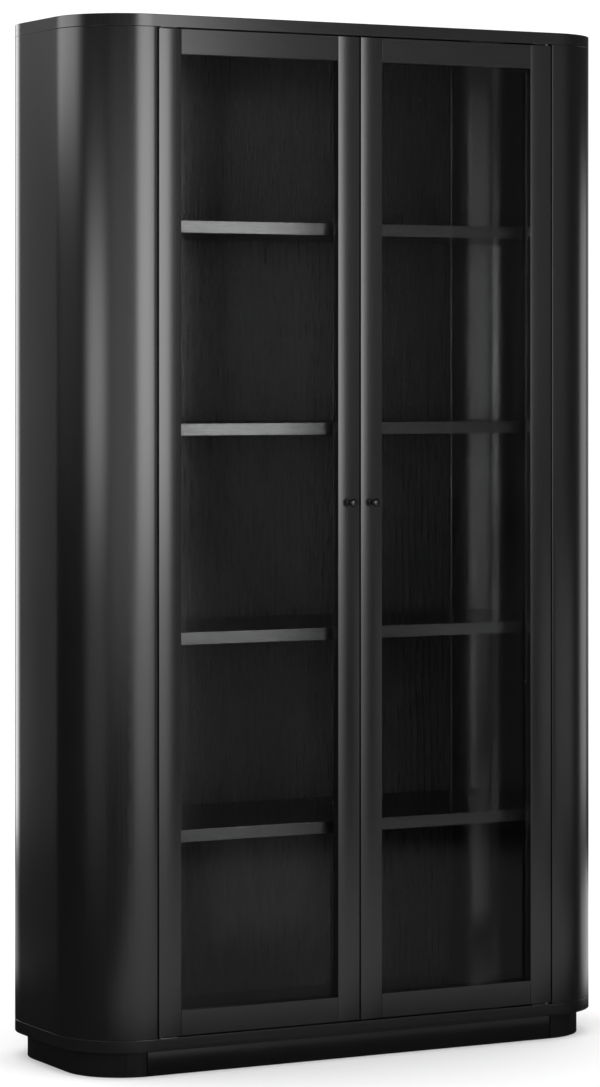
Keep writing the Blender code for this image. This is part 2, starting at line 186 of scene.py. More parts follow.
def straight_wood(rings, grain):
    """Wood coordinates of a flat piece: its own place, turned so that the third runs along the grain."""
    middle = (rings.min(axis=(0, 1)) + rings.max(axis=(0, 1))) / 2
    return np.roll(rings - middle, -TURNS[grain], axis=2) + leaf_shift()


def fit(piece, node_name, finish):
    """Puts a finished piece in a node's place: the same body, and the finish that it is given."""
    piece.data.materials.append(finish)
    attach(piece, frame["nodes"][node_name]["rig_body"])
    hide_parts(node_name)
    return piece


print("leaves are cut from", LEAF_ROOM, "m of tree")

# %% [markdown]
# ## Black veneer
# The finish is a thin black stain under a satin lacquer. The wood still shows in three ways: slow figure,
# where the growth rings were cut; fine pores, short dark scratches that the lacquer doesn't quite fill; and
# a slightly uneven sheen. Growth rings are modelled as what they are, cylinders round the middle of a trunk.
# Most leaves come from an upright trunk, which gives straight lines. The back panel's trunk leans, so its
# rings come out as the pointed arches of flat-sawn wood. Pores are noise stretched along the grain. All of
# it reads the "wood" attribute, so the pattern follows each bent or straight leaf.


# %% Small helpers for shader trees
def new_finish(name):
    """A new material with its Principled shader: (material, node tree, shader)."""
    finish = bpy.data.materials.new(name)
    finish.use_nodes = True
    return finish, finish.node_tree, finish.node_tree.nodes["Principled BSDF"]


def node(tree, kind, inputs, **settings):
    """Adds a node with its settings, and sets or links each given input; returns its first output."""
    made = tree.nodes.new(kind)
    for key, value in settings.items():
        setattr(made, key, value)
    for key, value in inputs.items():
        if isinstance(value, bpy.types.NodeSocket):
            tree.links.new(value, made.inputs[key])
        else:
            made.inputs[key].default_value = value
    return made.outputs[0]


def between(tree, value, source, target):
    """Carries a value from one range of numbers to another."""
    return node(tree, "ShaderNodeMapRange", {"Value": value, "From Min": source[0], "From Max": source[1],
                                             "To Min": target[0], "To Max": target[1]})


# %% The veneer itself
DEEP_STAIN = (0.0025, 0.0055)          # late wood, where the stain lies deepest, and early wood
THIN_STAIN = (0.0110, 0.0155)          # the same two on the back panel, whose figure shows through
SHEEN = (0.20, 0.24)                   # roughness of the satin lacquer
FULL_COAT = 1.0                        # specular level of the lacquer on the outside
THIN_COAT = 0.4                        # and on the back panel; both were matched to the photo
TRUNK_ASIDE = 0.11                     # sideways from the leaf's middle to the trunk's
TONES = (0.3, 1.1)                     # the range that figure, streaks and cloud add up to
PORE_EDGE = (0.34, 0.46)               # from inside a pore to the flat wood, as values of the noise
PORE_DEPTH = 0.00012
PORE_BUMP = 0.06                       # the lacquer fills most of each pore
PORE_TONE = 0.45                       # a pore is this much of its wood's tone


def veneer(name, rings_per_metre, trunk_depth, lean, stains, lacquer):
    """Stained and lacquered veneer. An upright trunk gives straight lines, and one that leans gives arches.

    A Wave Texture draws 20 / (2 pi) rings for each unit of its scale, which sets the scale of the figure.
    Each noise has its own number of cells for each metre across, into and along the leaf.
    """
    finish, tree, shader = new_finish(name)
    reader = tree.nodes.new("ShaderNodeAttribute")
    reader.attribute_name = "wood"
    wood = reader.outputs["Vector"]

    def stretched(scale, detail):
        place = node(tree, "ShaderNodeMapping", {"Vector": wood, "Scale": scale})
        return node(tree, "ShaderNodeTexNoise", {"Vector": place, "Scale": 1.0, "Detail": detail})

    trunk = node(tree, "ShaderNodeMapping",
                 {"Vector": wood, "Location": (TRUNK_ASIDE, trunk_depth, 0), "Rotation": (lean, lean / 3, 0)})
    figure = node(tree, "ShaderNodeTexWave",
                  {"Vector": trunk, "Scale": rings_per_metre * math.pi / 10, "Distortion": 2.6, "Detail": 2.0,
                   "Detail Scale": 0.8}, wave_type="RINGS", rings_direction="Z", wave_profile="SAW")
    cloud = stretched((6, 6, 1.6), 3.0)
    pores = stretched((900, 900, 26), 2.0)
    streaks = stretched((260, 260, 5), 4.0)

    filled = between(tree, pores, PORE_EDGE, (0, 1))
    body = node(tree, "ShaderNodeMath", {0: figure, 1: streaks}, operation="MULTIPLY")
    tone = node(tree, "ShaderNodeMath", {0: body, 1: cloud}, operation="ADD")
    stain = between(tree, tone, TONES, stains)
    colour = node(tree, "ShaderNodeMath", {0: stain, 1: between(tree, filled, (0, 1), (PORE_TONE, 1))},
                  operation="MULTIPLY")
    relief = node(tree, "ShaderNodeMath", {0: filled, 1: streaks}, operation="ADD")
    shader.inputs["Specular IOR Level"].default_value = lacquer
    tree.links.new(colour, shader.inputs["Base Color"])
    tree.links.new(between(tree, tone, TONES, SHEEN), shader.inputs["Roughness"])
    bump = node(tree, "ShaderNodeBump", {"Height": relief, "Strength": PORE_BUMP, "Distance": PORE_DEPTH})
    tree.links.new(bump, shader.inputs["Normal"])
    return finish


plain_veneer = veneer("black_veneer", rings_per_metre=150, trunk_depth=0.02, lean=0.0,
                      stains=DEEP_STAIN, lacquer=FULL_COAT)
arched_veneer = veneer("black_veneer_arched", rings_per_metre=60, trunk_depth=0.075, lean=math.radians(2.2),
                       stains=THIN_STAIN, lacquer=THIN_COAT)
print("veneers:", plain_veneer.name, arched_veneer.name)

# %% [markdown]
# ## The two bent sides
# Each side is one sheet of thin plywood bent round both corners, so no joint shows from the doorway to
# the back. Its plan is a C with two concentric quarter circles. The veneer is one unrolled leaf, so its
# wood coordinates are measured along the curve: the width coordinate is the distance walked round the
# outline. The walk starts and ends at the rear end of the C, which the back panel hides.

# %% Sizes shared by the case
ARRIS = 0.0007                         # rounding of every sanded edge
END_EASE = 0.0004                      # rounding of the ends of a bar
TOUCH = 0.0003                         # gap between pieces that touch
CORNER = 0.1475                        # outside radius of the case, seen from above
WALL = 0.020                           # thickness of a bent side
BEND_FACES = 40                        # facets in a quarter of a large bend
SIDES = {"left": -1, "right": 1}

shell_low, shell_high = box("right_shell")
half_width = shell_high[0]
front, back = shell_low[1], shell_high[1]
doorway = shell_low[0]
bend_start = half_width - CORNER
print(f"case {2 * half_width:.3f} m wide, {back - front:.3f} m deep")


# %% A C-shaped outline and the two sides
def c_plan(side, ends, outside, depths, radius, thick):
    """Plan of a bent end: ends are where its front and rear legs stop, outside its far face."""
    near, far = depths
    x_in = outside - thick
    corners = [(ends[1], far), (ends[1], far - thick), (x_in, far - thick), (x_in, near + thick),
               (ends[0], near + thick), (ends[0], near), (outside, near), (outside, far)]
    radii = [ARRIS, ARRIS, radius - thick, radius - thick, ARRIS, ARRIS, radius, radius]
    faces = [3, 3, BEND_FACES, BEND_FACES, 3, 3, BEND_FACES, BEND_FACES]
    return rounded(np.array(corners) * (side, 1), radii, faces)


def unrolled_wood(rings):
    """Wood coordinates of a bent leaf: the distance walked round the ring, and the height."""
    steps = np.linalg.norm(np.diff(rings, axis=1, prepend=rings[:, :1]), axis=2)
    walked = np.cumsum(steps, axis=1)
    flat = np.stack([walked - walked.mean(), np.zeros_like(walked), rings[..., 2]], axis=2)
    return flat + leaf_shift()


for side_name, side in SIDES.items():
    plan = c_plan(side, (doorway, bend_start), half_width, (front, back), CORNER, WALL)
    rings = swept(plan, shell_low[2], shell_high[2], "z", END_EASE)
    shell = skin(f"{side_name}_shell_veneered", rings, unrolled_wood(rings))
    fit(shell, f"{side_name}_shell", plain_veneer)
print(f"each side has {len(shell.data.polygons)} faces")

# %% [markdown]
# ## Boards of the case
# The top and bottom boards are rounded rectangles with the same corner radius as the sides. The back
# panel closes the case between the rear ends of the two sides. Two slim battens behind the doorway stop
# the doors. The plinth is set back under the bottom board: two straight rails and two bent ends, like a
# smaller copy of the case.


# %% A veneered board
def board(node_name, line, low, high, axis, grain, ease=END_EASE, finish=plain_veneer):
    """One straight piece of veneered board in the place of a node."""
    rings = swept(line, low, high, axis, ease)
    piece = skin(f"{node_name}_veneered", rings, straight_wood(rings, grain))
    return fit(piece, node_name, finish)


def bar(node_name, axis, grain):
    """A straight bar that fills its node's box, with every edge eased."""
    low, high = (np.roll(corner, -TURNS[axis]) for corner in box(node_name))
    return board(node_name, rectangle(low[:2], high[:2], ARRIS), low[2], high[2], axis, grain)


# %% Top, bottom, back, battens and plinth
case_plan = rounded([(-half_width, front), (half_width, front), (half_width, back), (-half_width, back)],
                    CORNER, BEND_FACES)
for node_name in ("bottom_panel", "top_panel"):
    low, high = box(node_name)
    board(node_name, case_plan, low[2], high[2], "z", "x", ease=ARRIS)

low, high = box("back_panel")
board("back_panel", rectangle((-bend_start + TOUCH, low[1]), (bend_start - TOUCH, high[1]), ARRIS),
      low[2], high[2], "z", "z", finish=arched_veneer)
for side_name in SIDES:
    bar(f"{side_name}_stop_batten", "z", "z")
for node_name in ("plinth_front_rail", "plinth_back_rail"):
    bar(node_name, "x", "x")

plinth_low, plinth_high = box("plinth_right_end")
plinth_inset = half_width - plinth_high[0]
rail_low, rail_high = box("plinth_front_rail")
for side_name, side in SIDES.items():
    plan = c_plan(side, (bend_start, bend_start), plinth_high[0], (plinth_low[1], plinth_high[1]),
                  CORNER - plinth_inset, rail_high[1] - rail_low[1])
    rings = swept(plan, plinth_low[2], plinth_high[2], "z", END_EASE)
    fit(skin(f"plinth_{side_name}_end_veneered", rings, unrolled_wood(rings)),
        f"plinth_{side_name}_end", plain_veneer)
print(f"plinth set back by {plinth_inset * 1000:.0f} mm")

# %% [markdown]
# ## Shelves
# A shelf is as wide as the case is inside, wider than the doorway, so it was fixed before the top went
# on. Its rear corners follow the bent sides, and its straight front edge cuts the front bends short,
# behind the door stops. Each rests on a small cleat on either side.


# %% A shelf's outline
def shelf_line(low, high, radius, middle_y):
    """A D-shaped outline: quarter bends at the rear, and shorter bends that end on the straight front edge.

    Both front bends share their centre with the case's bends, at (c, m). Shrunk by d, the front edge lies at
    y = front + d, and meets the bend of radius R - d at the angle -asin((m - front - d) / (R - d)).
    """
    centre_x = high[0] - radius

    def line(shrink):
        d = np.atleast_1d(shrink)[:, None]
        start = -np.arcsin((middle_y[0] - low[1] - d) / (radius - d))
        front_turn = start * (1 - np.linspace(0, 1, BEND_FACES)[None])
        rear_turn = np.broadcast_to(np.linspace(0, math.pi / 2, BEND_FACES), (len(d), BEND_FACES))
        angle = np.concatenate([front_turn, rear_turn], axis=1)
        centre_y = np.repeat(middle_y, BEND_FACES)[None]
        x = centre_x + (radius - d) * np.cos(angle)
        y = centre_y + (radius - d) * np.sin(angle)
        return np.concatenate([np.stack([x, y], axis=2), np.stack([-x, y], axis=2)[:, ::-1]], axis=1)

    return line


# %% Four shelves and their cleats
SHELF_AIR = 0.001                      # between a shelf and the bent sides
middles = (front + CORNER, back - CORNER)
for number in (1, 2, 3, 4):
    low, high = box(f"shelf_{number}")
    line = shelf_line(low, high, CORNER - WALL - SHELF_AIR, middles)
    board(f"shelf_{number}", line, low[2], high[2], "z", "x", ease=ARRIS)
    for side_name in SIDES:
        bar(f"shelf_{number}_{side_name}_cleat", "y", "y")
    print(f"shelf {number} tops out at {high[2]:.3f} m")

# %% [markdown]
# ## Door frames
# Each door is a frame of two upright stiles and two rails between them. A rebate, a step cut into the
# back of the opening, takes the glass. The step runs the full length of each stile, so a rail needs a
# longer shoulder behind than in front, to fill the step where the two meet. That is the joiner's
# long-and-short-shoulder joint, and the rail below is two rectangles, one behind the other, joined by a
# flat step.

# %% Sizes shared by both doors
glass_low, glass_high = box("right_door_glass")
rebate_face = glass_low[1] - TOUCH     # where the front lip ends
REBATE = 0.008                         # width of the step
STEP_ROUND = 0.0002                    # the cutter's radius in the corner of the step
STEP_DROP = 0.0002                     # the rear shoulder stays this far inside the front one's outer edge


def stile(node_name, edge, opening):
    """An upright of the door: an L-shaped section, from its outer edge to the opening."""
    low, high = box(node_name)
    step = opening - math.copysign(REBATE, opening - edge)
    section = rounded([(edge, low[1]), (opening, low[1]), (opening, rebate_face), (step, rebate_face),
                       (step, high[1]), (edge, high[1])], [ARRIS, ARRIS, ARRIS, STEP_ROUND, ARRIS, ARRIS])
    return board(node_name, section, low[2], high[2], "z", "z")


def rail(node_name, across, edge, opening):
    """A rail: a short front layer between the stiles, and a longer, narrower one that fills their rebates."""
    low, high = box(node_name)
    inwards = math.copysign(1, opening - edge)
    reach = REBATE - TOUCH
    front_layer = rectangle((edge, across[0]), (opening, across[1]), ARRIS)
    edge, opening = edge + inwards * STEP_DROP, opening - inwards * REBATE
    across = (across[0] - reach, across[1] + reach)
    rear_layer = rectangle((edge, across[0]), (opening, across[1]), ARRIS)
    shrink, height = stations(low[1], high[1], END_EASE)
    half = len(shrink) // 2
    flat = [front_layer(shrink[:half]), front_layer(0), rear_layer(0), rear_layer(shrink[half:])]
    height = np.concatenate([height[:half], [rebate_face, rebate_face], height[half:]])
    rings = stacked(np.concatenate(flat), height, "y")
    piece = skin(f"{node_name}_veneered", rings, straight_wood(rings, "x"))
    return fit(piece, node_name, plain_veneer)


# %% Two door frames
openings = {}
for side_name, side in SIDES.items():
    door = f"{side_name}_door"
    inner = np.sort(side * np.array([box(f"{door}_inner_stile")[k][0] for k in (0, 1)]))
    outer = np.sort(side * np.array([box(f"{door}_outer_stile")[k][0] for k in (0, 1)]))
    top_rail, bottom_rail = box(f"{door}_top_rail"), box(f"{door}_bottom_rail")
    x_open = np.sort(side * np.array([inner[1], outer[0]]))
    rail_height = bottom_rail[1][2] - bottom_rail[0][2]
    z_open = np.array([bottom_rail[1][2], top_rail[1][2] - rail_height])
    stile(f"{door}_inner_stile", side * inner[0], side * inner[1])
    stile(f"{door}_outer_stile", side * outer[1], side * outer[0])
    between_stiles = x_open + (TOUCH, -TOUCH)
    rail(f"{door}_top_rail", between_stiles, top_rail[1][2], z_open[1])
    rail(f"{door}_bottom_rail", between_stiles, bottom_rail[0][2], z_open[0])
    openings[side_name] = (x_open, z_open)
    print(f"{side_name} door opening {np.ptp(x_open):.3f} by {np.ptp(z_open):.3f} m")

# %% [markdown]
# ## Glass and beads
# A pane lies in each rebate, held from behind by four slim beads. The beads are mitred like a picture
# frame: each end point moves inwards by its distance from the bead's outer edge. Their inner rear edge is
# well rounded.
#
# Glass is a Principled shader with full transmission and no roughness. Some display glass is coated to
# reflect little, and a lower refractive index than plain glass has does the same. A ray tracer treats the
# shadow of such a pane as solid, so the light inside the case would have to be found by chance. Mixing in
# a Transparent shader for shadow rays only lets the lamps light the shelves through the pane, as daylight
# does.

# %% The glass finish
GLASS_TINT = (0.985, 0.995, 0.99)
SHADOW_TINT = (0.93, 0.95, 0.94)       # what is left of the light that passes both faces
GLASS_INDEX = 1.2                      # plain window glass has 1.5; a coating is assumed
PANE_CORNER, PANE_EASE = 0.0015, 0.0003


def clear_glass():
    """Clear glass that lamps can shine through."""
    finish, tree, shader = new_finish("clear_glass")
    shader.inputs["Base Color"].default_value = (*GLASS_TINT, 1)
    shader.inputs["Roughness"].default_value = 0.0
    shader.inputs["IOR"].default_value = GLASS_INDEX
    shader.inputs["Transmission Weight"].default_value = 1.0
    open_air = node(tree, "ShaderNodeBsdfTransparent", {"Color": (*SHADOW_TINT, 1)})
    path = tree.nodes.new("ShaderNodeLightPath")
    pane = node(tree, "ShaderNodeMixShader",
                {0: path.outputs["Is Shadow Ray"], 1: shader.outputs["BSDF"], 2: open_air})
    tree.links.new(pane, tree.nodes["Material Output"].inputs["Surface"])
    return finish


glass = clear_glass()
print("glass:", glass.name)


# %% Panes and mitred beads
BEAD_ROUND = 0.0028                    # radius of a bead's inner rear edge


def mitred(rings, along, across, outer_edge):
    """Cuts both ends at 45 degrees: each point moves in by its distance from the bead's outer edge."""
    inward = np.abs(rings[..., across] - outer_edge)
    half = len(rings) // 2
    rings[:half, :, along] += inward[:half]
    rings[half:, :, along] -= inward[half:]
    return rings


def bead(node_name, along, outer_edge, inner_edge, ends):
    """A glazing bead along "x" or "z", between its edge in the rebate and its edge at the opening."""
    low, high = box(node_name)
    corners = [(outer_edge, low[1]), (inner_edge, low[1]), (inner_edge, high[1]), (outer_edge, high[1])]
    radii = [ARRIS, ARRIS, BEAD_ROUND, ARRIS]
    if along == "x":
        corners = [(y, z) for z, y in corners]
    rings = swept(rounded(corners, radii), *ends, along, END_EASE)
    rings = mitred(rings, "xyz".index(along), 2 if along == "x" else 0, outer_edge)
    piece = skin(f"{node_name}_veneered", rings, straight_wood(rings, along))
    fit(piece, node_name, plain_veneer)


for side_name, side in SIDES.items():
    door = f"{side_name}_door"
    x_open, z_open = openings[side_name]
    low, high = box(f"{door}_glass")
    rings = swept(rectangle(low[[2, 0]], high[[2, 0]], PANE_CORNER), low[1], high[1], "y", PANE_EASE)
    fit(skin(f"{door}_pane", rings), f"{door}_glass", glass)
    wall = REBATE - TOUCH
    x_wall, z_wall = x_open + (-wall, wall), z_open + (-wall, wall)
    near, far = (0, 1) if side > 0 else (1, 0)
    bead(f"{door}_inner_bead", "z", x_wall[near], x_open[near], z_wall)
    bead(f"{door}_outer_bead", "z", x_wall[far], x_open[far], z_wall)
    bead(f"{door}_bottom_bead", "x", z_wall[0], z_open[0], x_wall)
    bead(f"{door}_top_bead", "x", z_wall[1], z_open[1], x_wall)
print("beads fitted")

# %% [markdown]
# ## Metal and plastic
# The knobs are small turned buttons in blackened metal, the hinges are plain steel, and the catches are
# moulded in black plastic. Worked metal is never quite even: a polishing wheel leaves hair-fine
# scratches, and fingers shine some places more than others. Noise moves the roughness and the tone a
# little, and a faint bump breaks up the highlight. The plastic uses the same recipe without the metal, at
# the coarser scale of a spark-eroded mould.


# %% Two metals and a plastic
NOISE = (0.3, 0.7)                     # most values of a noise lie between these
SCRATCH_BUMP, SCRATCH_DEPTH = 0.2, 0.00005


def polished(name, tone, roughness, scale, metallic):
    """A worked or moulded surface: fine noise moves its tone and roughness, and scratches it faintly."""
    finish, tree, shader = new_finish(name)
    place = tree.nodes.new("ShaderNodeTexCoord").outputs["Object"]
    wear = node(tree, "ShaderNodeTexNoise", {"Vector": place, "Scale": scale, "Detail": 4.0})
    shader.inputs["Metallic"].default_value = metallic
    tree.links.new(between(tree, wear, NOISE, tone), shader.inputs["Base Color"])
    tree.links.new(between(tree, wear, NOISE, roughness), shader.inputs["Roughness"])
    bump = node(tree, "ShaderNodeBump", {"Height": wear, "Strength": SCRATCH_BUMP, "Distance": SCRATCH_DEPTH})
    tree.links.new(bump, shader.inputs["Normal"])
    return finish


blackened = polished("blackened_metal", (0.05, 0.11), (0.22, 0.38), 900, 1.0)
steel = polished("brushed_steel", (0.38, 0.52), (0.25, 0.42), 1500, 1.0)
plastic = polished("black_plastic", (0.010, 0.016), (0.40, 0.55), 2600, 0.0)
print("finishes:", blackened.name, steel.name, plastic.name)

# %% [markdown]
# ## Knobs and screws
# A turned piece is one profile, radius against height, carried round a circle, so its surface is a
# function of the angle and of the distance along the profile. A screw head is the same with a cross
# pressed into it: the height drops where a point lies within half a slot's width of either arm.


# %% Turned pieces
ROUND = 48                             # facets round a turned piece
POINTING = {"-y": ((1, 0, 0), (0, 0, 1), (0, -1, 0)), "y": ((-1, 0, 0), (0, 0, 1), (0, 1, 0)),
            "z": ((1, 0, 0), (0, 1, 0), (0, 0, 1)), "-z": ((1, 0, 0), (0, -1, 0), (0, 0, -1))}


def turned(radius, height, seat, direction, recess=None):
    """Rings of a profile, (radius, height), round an axis that starts at seat and points in a direction."""
    angle = np.linspace(0, math.tau, ROUND, endpoint=False)
    a, b = radius[:, None] * np.cos(angle), radius[:, None] * np.sin(angle)
    h = np.repeat(height[:, None], ROUND, axis=1)
    if recess is not None:
        h = h - recess(a, b)
    return np.stack([a, b, h], axis=2) @ np.array(POINTING[direction], float) + seat


# %% The profile of a knob
FOOT, FOOT_THICK, FOOT_ROUND = 0.0065, 0.0016, 0.0005
NECK, NECK_START = 0.0042, 0.0011      # radius at the waist, and how far inside the foot the neck starts
BUTTON_HALF, BUTTON_POWER = 0.0052, 0.8
SEAM = 0.0004                          # bevel under the foot, and how far the neck stops short of the button
LIFT = 0.0001                          # keeps the neck's first ring clear of the foot's last


def knob_profile(reach, head):
    """Radius and height from seat to crown: a flat foot, a waisted neck and a softly squared button.

    The neck's radius is n + (f - n) (1 - s)^3, where n is the waist, f the start and s runs from 0 to 1.
    The button is a superellipse: its radius is the head's times cos(t)^0.8, and its height is its middle
    plus its half thickness times sin t.
    """
    t = np.linspace(0, math.pi / 2, 5)
    foot_r = FOOT - FOOT_ROUND * (1 - np.cos(t))
    foot_z = FOOT_THICK - FOOT_ROUND * (1 - np.sin(t))
    s = np.linspace(0, 1, 10)
    neck_r = NECK + (FOOT - NECK_START - NECK) * (1 - s) ** 3
    neck_z = FOOT_THICK + LIFT + s * (reach - 2 * BUTTON_HALF - FOOT_THICK - SEAM)
    t = np.linspace(math.asin(-0.93), math.radians(86), 22)
    head_r = head * np.cos(t) ** BUTTON_POWER
    head_z = reach - BUTTON_HALF + BUTTON_HALF * np.sin(t)
    radius = np.concatenate([[FOOT - SEAM, FOOT], foot_r, neck_r, head_r])
    return radius, np.concatenate([[0, SEAM], foot_z, neck_z, head_z])


# %% The head of a screw
def screw_head(seat, direction, radius, rise):
    """Rings of a pan head with a pressed cross, from the flat that it stands on.

    In shares of its radius and its rise, the head is a short wall and then a low dome. The cross is as deep
    as half the rise, and fades out over its edges and over the last quarter of its arms.
    """
    t = np.linspace(0, 1, 12)
    r = np.concatenate([[0.9, 0.98, 1.0, 1.0, 0.985], 0.94 * np.sqrt(1 - t ** 2 * 0.998)]) * radius
    h = np.concatenate([[0, 0, 0.08, 0.5, 0.68], 0.76 + 0.24 * (1 - (1 - t) ** 2)]) * rise

    def cross(a, b):
        arm, slot = 0.56 * radius, 0.13 * radius
        edge = np.minimum(np.abs(a), np.abs(b)) / slot
        end = np.hypot(a, b) / arm
        return 0.5 * rise * np.clip(2.2 - 1.6 * edge, 0, 1) * np.clip(4 - 4 * end, 0, 1)

    return turned(r, h, seat, direction, cross)


# %% Knobs and their screws
SCREW_RISE = 0.0009                    # height of a pan head above the door's back

for side_name in SIDES:
    door = f"{side_name}_door"
    low, high = box(f"{door}_knob")
    radius, height = knob_profile(high[1] - low[1], (high[0] - low[0]) / 2)
    seat = ((low[0] + high[0]) / 2, high[1], (low[2] + high[2]) / 2)
    knob = skin(f"{door}_knob_turned", turned(radius, height, seat, "-y"))
    fit(knob, f"{door}_knob", blackened)
    low, high = box(f"{door}_knob_screw")
    seat = ((low[0] + high[0]) / 2, box(f"{door}_inner_stile")[1][1], (low[2] + high[2]) / 2)
    head = skin(f"{door}_knob_screw_head", screw_head(seat, "y", (high[0] - low[0]) / 2, SCREW_RISE))
    fit(head, f"{door}_knob_screw", steel)
print(f"knobs stand out by {(front - box('left_door_knob')[0][1]) * 1000:.0f} mm")

# %% [markdown]
# ## Knife hinges, catches and strike plates
# A knife hinge is two thin leaves that turn on one pin, let into the end of the door and into the board
# above or below it, so that nothing shows when the door is shut. Here each plate stands a hair proud of
# its wood, which keeps two surfaces from lying in one plane. A magnetic catch behind each door's top
# corner holds it against the stop, and meets a thin steel strike plate on the door.

# %% Leaves, plates and pins
PROUD = 0.0003                         # how far a let-in plate stands above the wood
LET_IN = 0.0026                        # and how deep it sits
PIN, COLLAR = 0.002, 0.0035            # radii
PIN_EASE = 0.0002                      # rounding of a plate's and a pin's edges
ROUND_END_FACES = 8                    # facets in a quarter of a plate's round end
ARC_APART = 0.0001                     # leaves a sliver of flat between the two arcs of a half round
COLLAR_AIR = 0.0008                    # between the collar and the door's leaf


def plate(node_name, face, up):
    """A let-in hinge plate: square at its tail, half round about its pin, standing just proud of a face."""
    low, high = box(node_name)
    pin_end = max(abs(low[0]), abs(high[0]))
    half_round = (high[1] - low[1]) / 2 - ARC_APART
    radii = [half_round if abs(x) == pin_end else ARRIS for x in (low[0], high[0], high[0], low[0])]
    corners = [(low[0], low[1]), (high[0], low[1]), (high[0], high[1]), (low[0], high[1])]
    ends = sorted((face - up * LET_IN, face + up * PROUD))
    piece = skin(f"{node_name}_plate", swept(rounded(corners, radii, ROUND_END_FACES), *ends, "z", PIN_EASE))
    return fit(piece, node_name, steel)


for side_name, side in SIDES.items():
    for level, up in (("bottom", 1), ("top", -1)):
        pivot, leaf = f"{side_name}_{level}_pivot", f"{side_name}_{level}_leaf"
        board_low, board_high = box(f"{level}_panel")
        stile_low, stile_high = box(f"{side_name}_door_outer_stile")
        face = board_high[2] if up > 0 else board_low[2]
        end = stile_low[2] if up > 0 else stile_high[2]
        plate(pivot, face, up)
        plate(leaf, end, -up)
        low, high = box(leaf)
        axis_x = side * (abs(high[0] if side > 0 else low[0]) - (high[1] - low[1]) / 2)
        axis_y = (low[1] + high[1]) / 2
        gap = abs(end - face)
        top = gap - COLLAR_AIR
        rim = COLLAR - PIN_EASE / 2
        radius = np.array([COLLAR - PIN_EASE, COLLAR, COLLAR, rim, PIN, PIN, PIN - PIN_EASE])
        height = np.array([0, PIN_EASE, top - PIN_EASE, top, top, gap, gap + PIN_EASE])
        rings = turned(radius, height, (axis_x, axis_y, face), "z" if up > 0 else "-z")
        pin = skin(f"{side_name}_{level}_pin", rings)
        pin.data.materials.append(steel)
        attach(pin, "case")

# %% Strike plates and catches
STRIKE_CORNER, STRIKE_EASE = 0.002, 0.0002
CATCH_CORNER, CATCH_EASE = 0.0015, 0.0008

for side_name in SIDES:
    low, high = box(f"{side_name}_door_strike_plate")
    rings = swept(rectangle(low[[2, 0]], high[[2, 0]], STRIKE_CORNER), low[1], high[1], "y", STRIKE_EASE)
    strike = skin(f"{side_name}_strike_plate_pressed", rings)
    fit(strike, f"{side_name}_door_strike_plate", steel)
    low, high = box(f"{side_name}_catch")
    rings = swept(rectangle(low[:2], high[:2], CATCH_CORNER), low[2], high[2], "z", CATCH_EASE)
    fit(skin(f"{side_name}_catch_moulded", rings), f"{side_name}_catch", plastic)
print("hardware fitted")

# %% [markdown]
# ## Studio
# The cabinet stands on a wide, pale floor under an even white sky, which light it softly from all sides.
# A black, glossy thing would mirror both and turn grey, so they are white only to rays that have not yet
# bounced off anything glossy. Reflections see dark walls instead, and the lamps that hang in front of them.

# %% Floor and sky
FLOOR_SIZE, FLOOR_CELLS = 60.0, 8
FLOOR_WHITE, SKY_LIGHT = 0.93, 1.15
STUDIO_WALLS = 0.05                    # what gloss and glass see where there is no lamp


def unmirrored(tree):
    """One where a ray has not yet bounced off anything glossy, and nought where it has."""
    path = tree.nodes.new("ShaderNodeLightPath")
    return node(tree, "ShaderNodeMath", {0: path.outputs["Glossy Depth"], 1: 0.5}, operation="LESS_THAN")


def pale_floor():
    """A flat floor: x and y are the two parameters of the grid, and its height is zero."""
    run = np.linspace(-FLOOR_SIZE / 2, FLOOR_SIZE / 2, FLOOR_CELLS + 1)
    x, y = np.meshgrid(run, run)
    points = np.stack([x, y, np.zeros_like(x)], axis=2)
    grid = np.arange(x.size).reshape(x.shape)
    quads = np.stack([grid[:-1, :-1], grid[:-1, 1:], grid[1:, 1:], grid[1:, :-1]], axis=-1).reshape(-1, 4)
    mesh = bpy.data.meshes.new("studio_floor")
    mesh.from_pydata(points.reshape(-1, 3), [], quads.tolist())
    floor = bpy.data.objects.new("studio_floor", mesh)
    bpy.context.scene.collection.objects.link(floor)
    finish, tree, shader = new_finish("pale_paint")
    shader.inputs["Roughness"].default_value = 0.9
    shader.inputs["Specular IOR Level"].default_value = 0.0
    white = between(tree, unmirrored(tree), (0, 1), (STUDIO_WALLS, FLOOR_WHITE))
    tree.links.new(white, shader.inputs["Base Color"])
    mesh.materials.append(finish)
    return floor


pale_floor()
sky = bpy.data.worlds.new("white_sky")
sky.use_nodes = True
shine = between(sky.node_tree, unmirrored(sky.node_tree), (0, 1), (STUDIO_WALLS, SKY_LIGHT))
sky.node_tree.links.new(shine, sky.node_tree.nodes["Background"].inputs["Strength"])
sky.node_tree.nodes["Background"].inputs["Color"].default_value = (1, 1, 1, 1)
bpy.context.scene.world = sky
print(f"a floor {FLOOR_SIZE:.0f} m across under {sky.name}")

# %% [markdown]
# ## Lamps
# What a black, glossy thing is lit by is what it reflects, so each lamp is given by the compass angles and
# heights that it spans. A tall box in front puts the broad pale band on the left-hand bend and the sheen on
# the frames of the doors. A narrow strip at the left draws the second, fainter stripe, lamps behind on both
# sides pick out the edges, and weak ones fill what is left. Boards that lie on the floor and shine upwards
# lift the foot of the case, which would otherwise reflect nothing but a dark floor. A real soft box fades
# towards its rim, so its reflection has no hard outline, and a small shader on each lamp does the same.


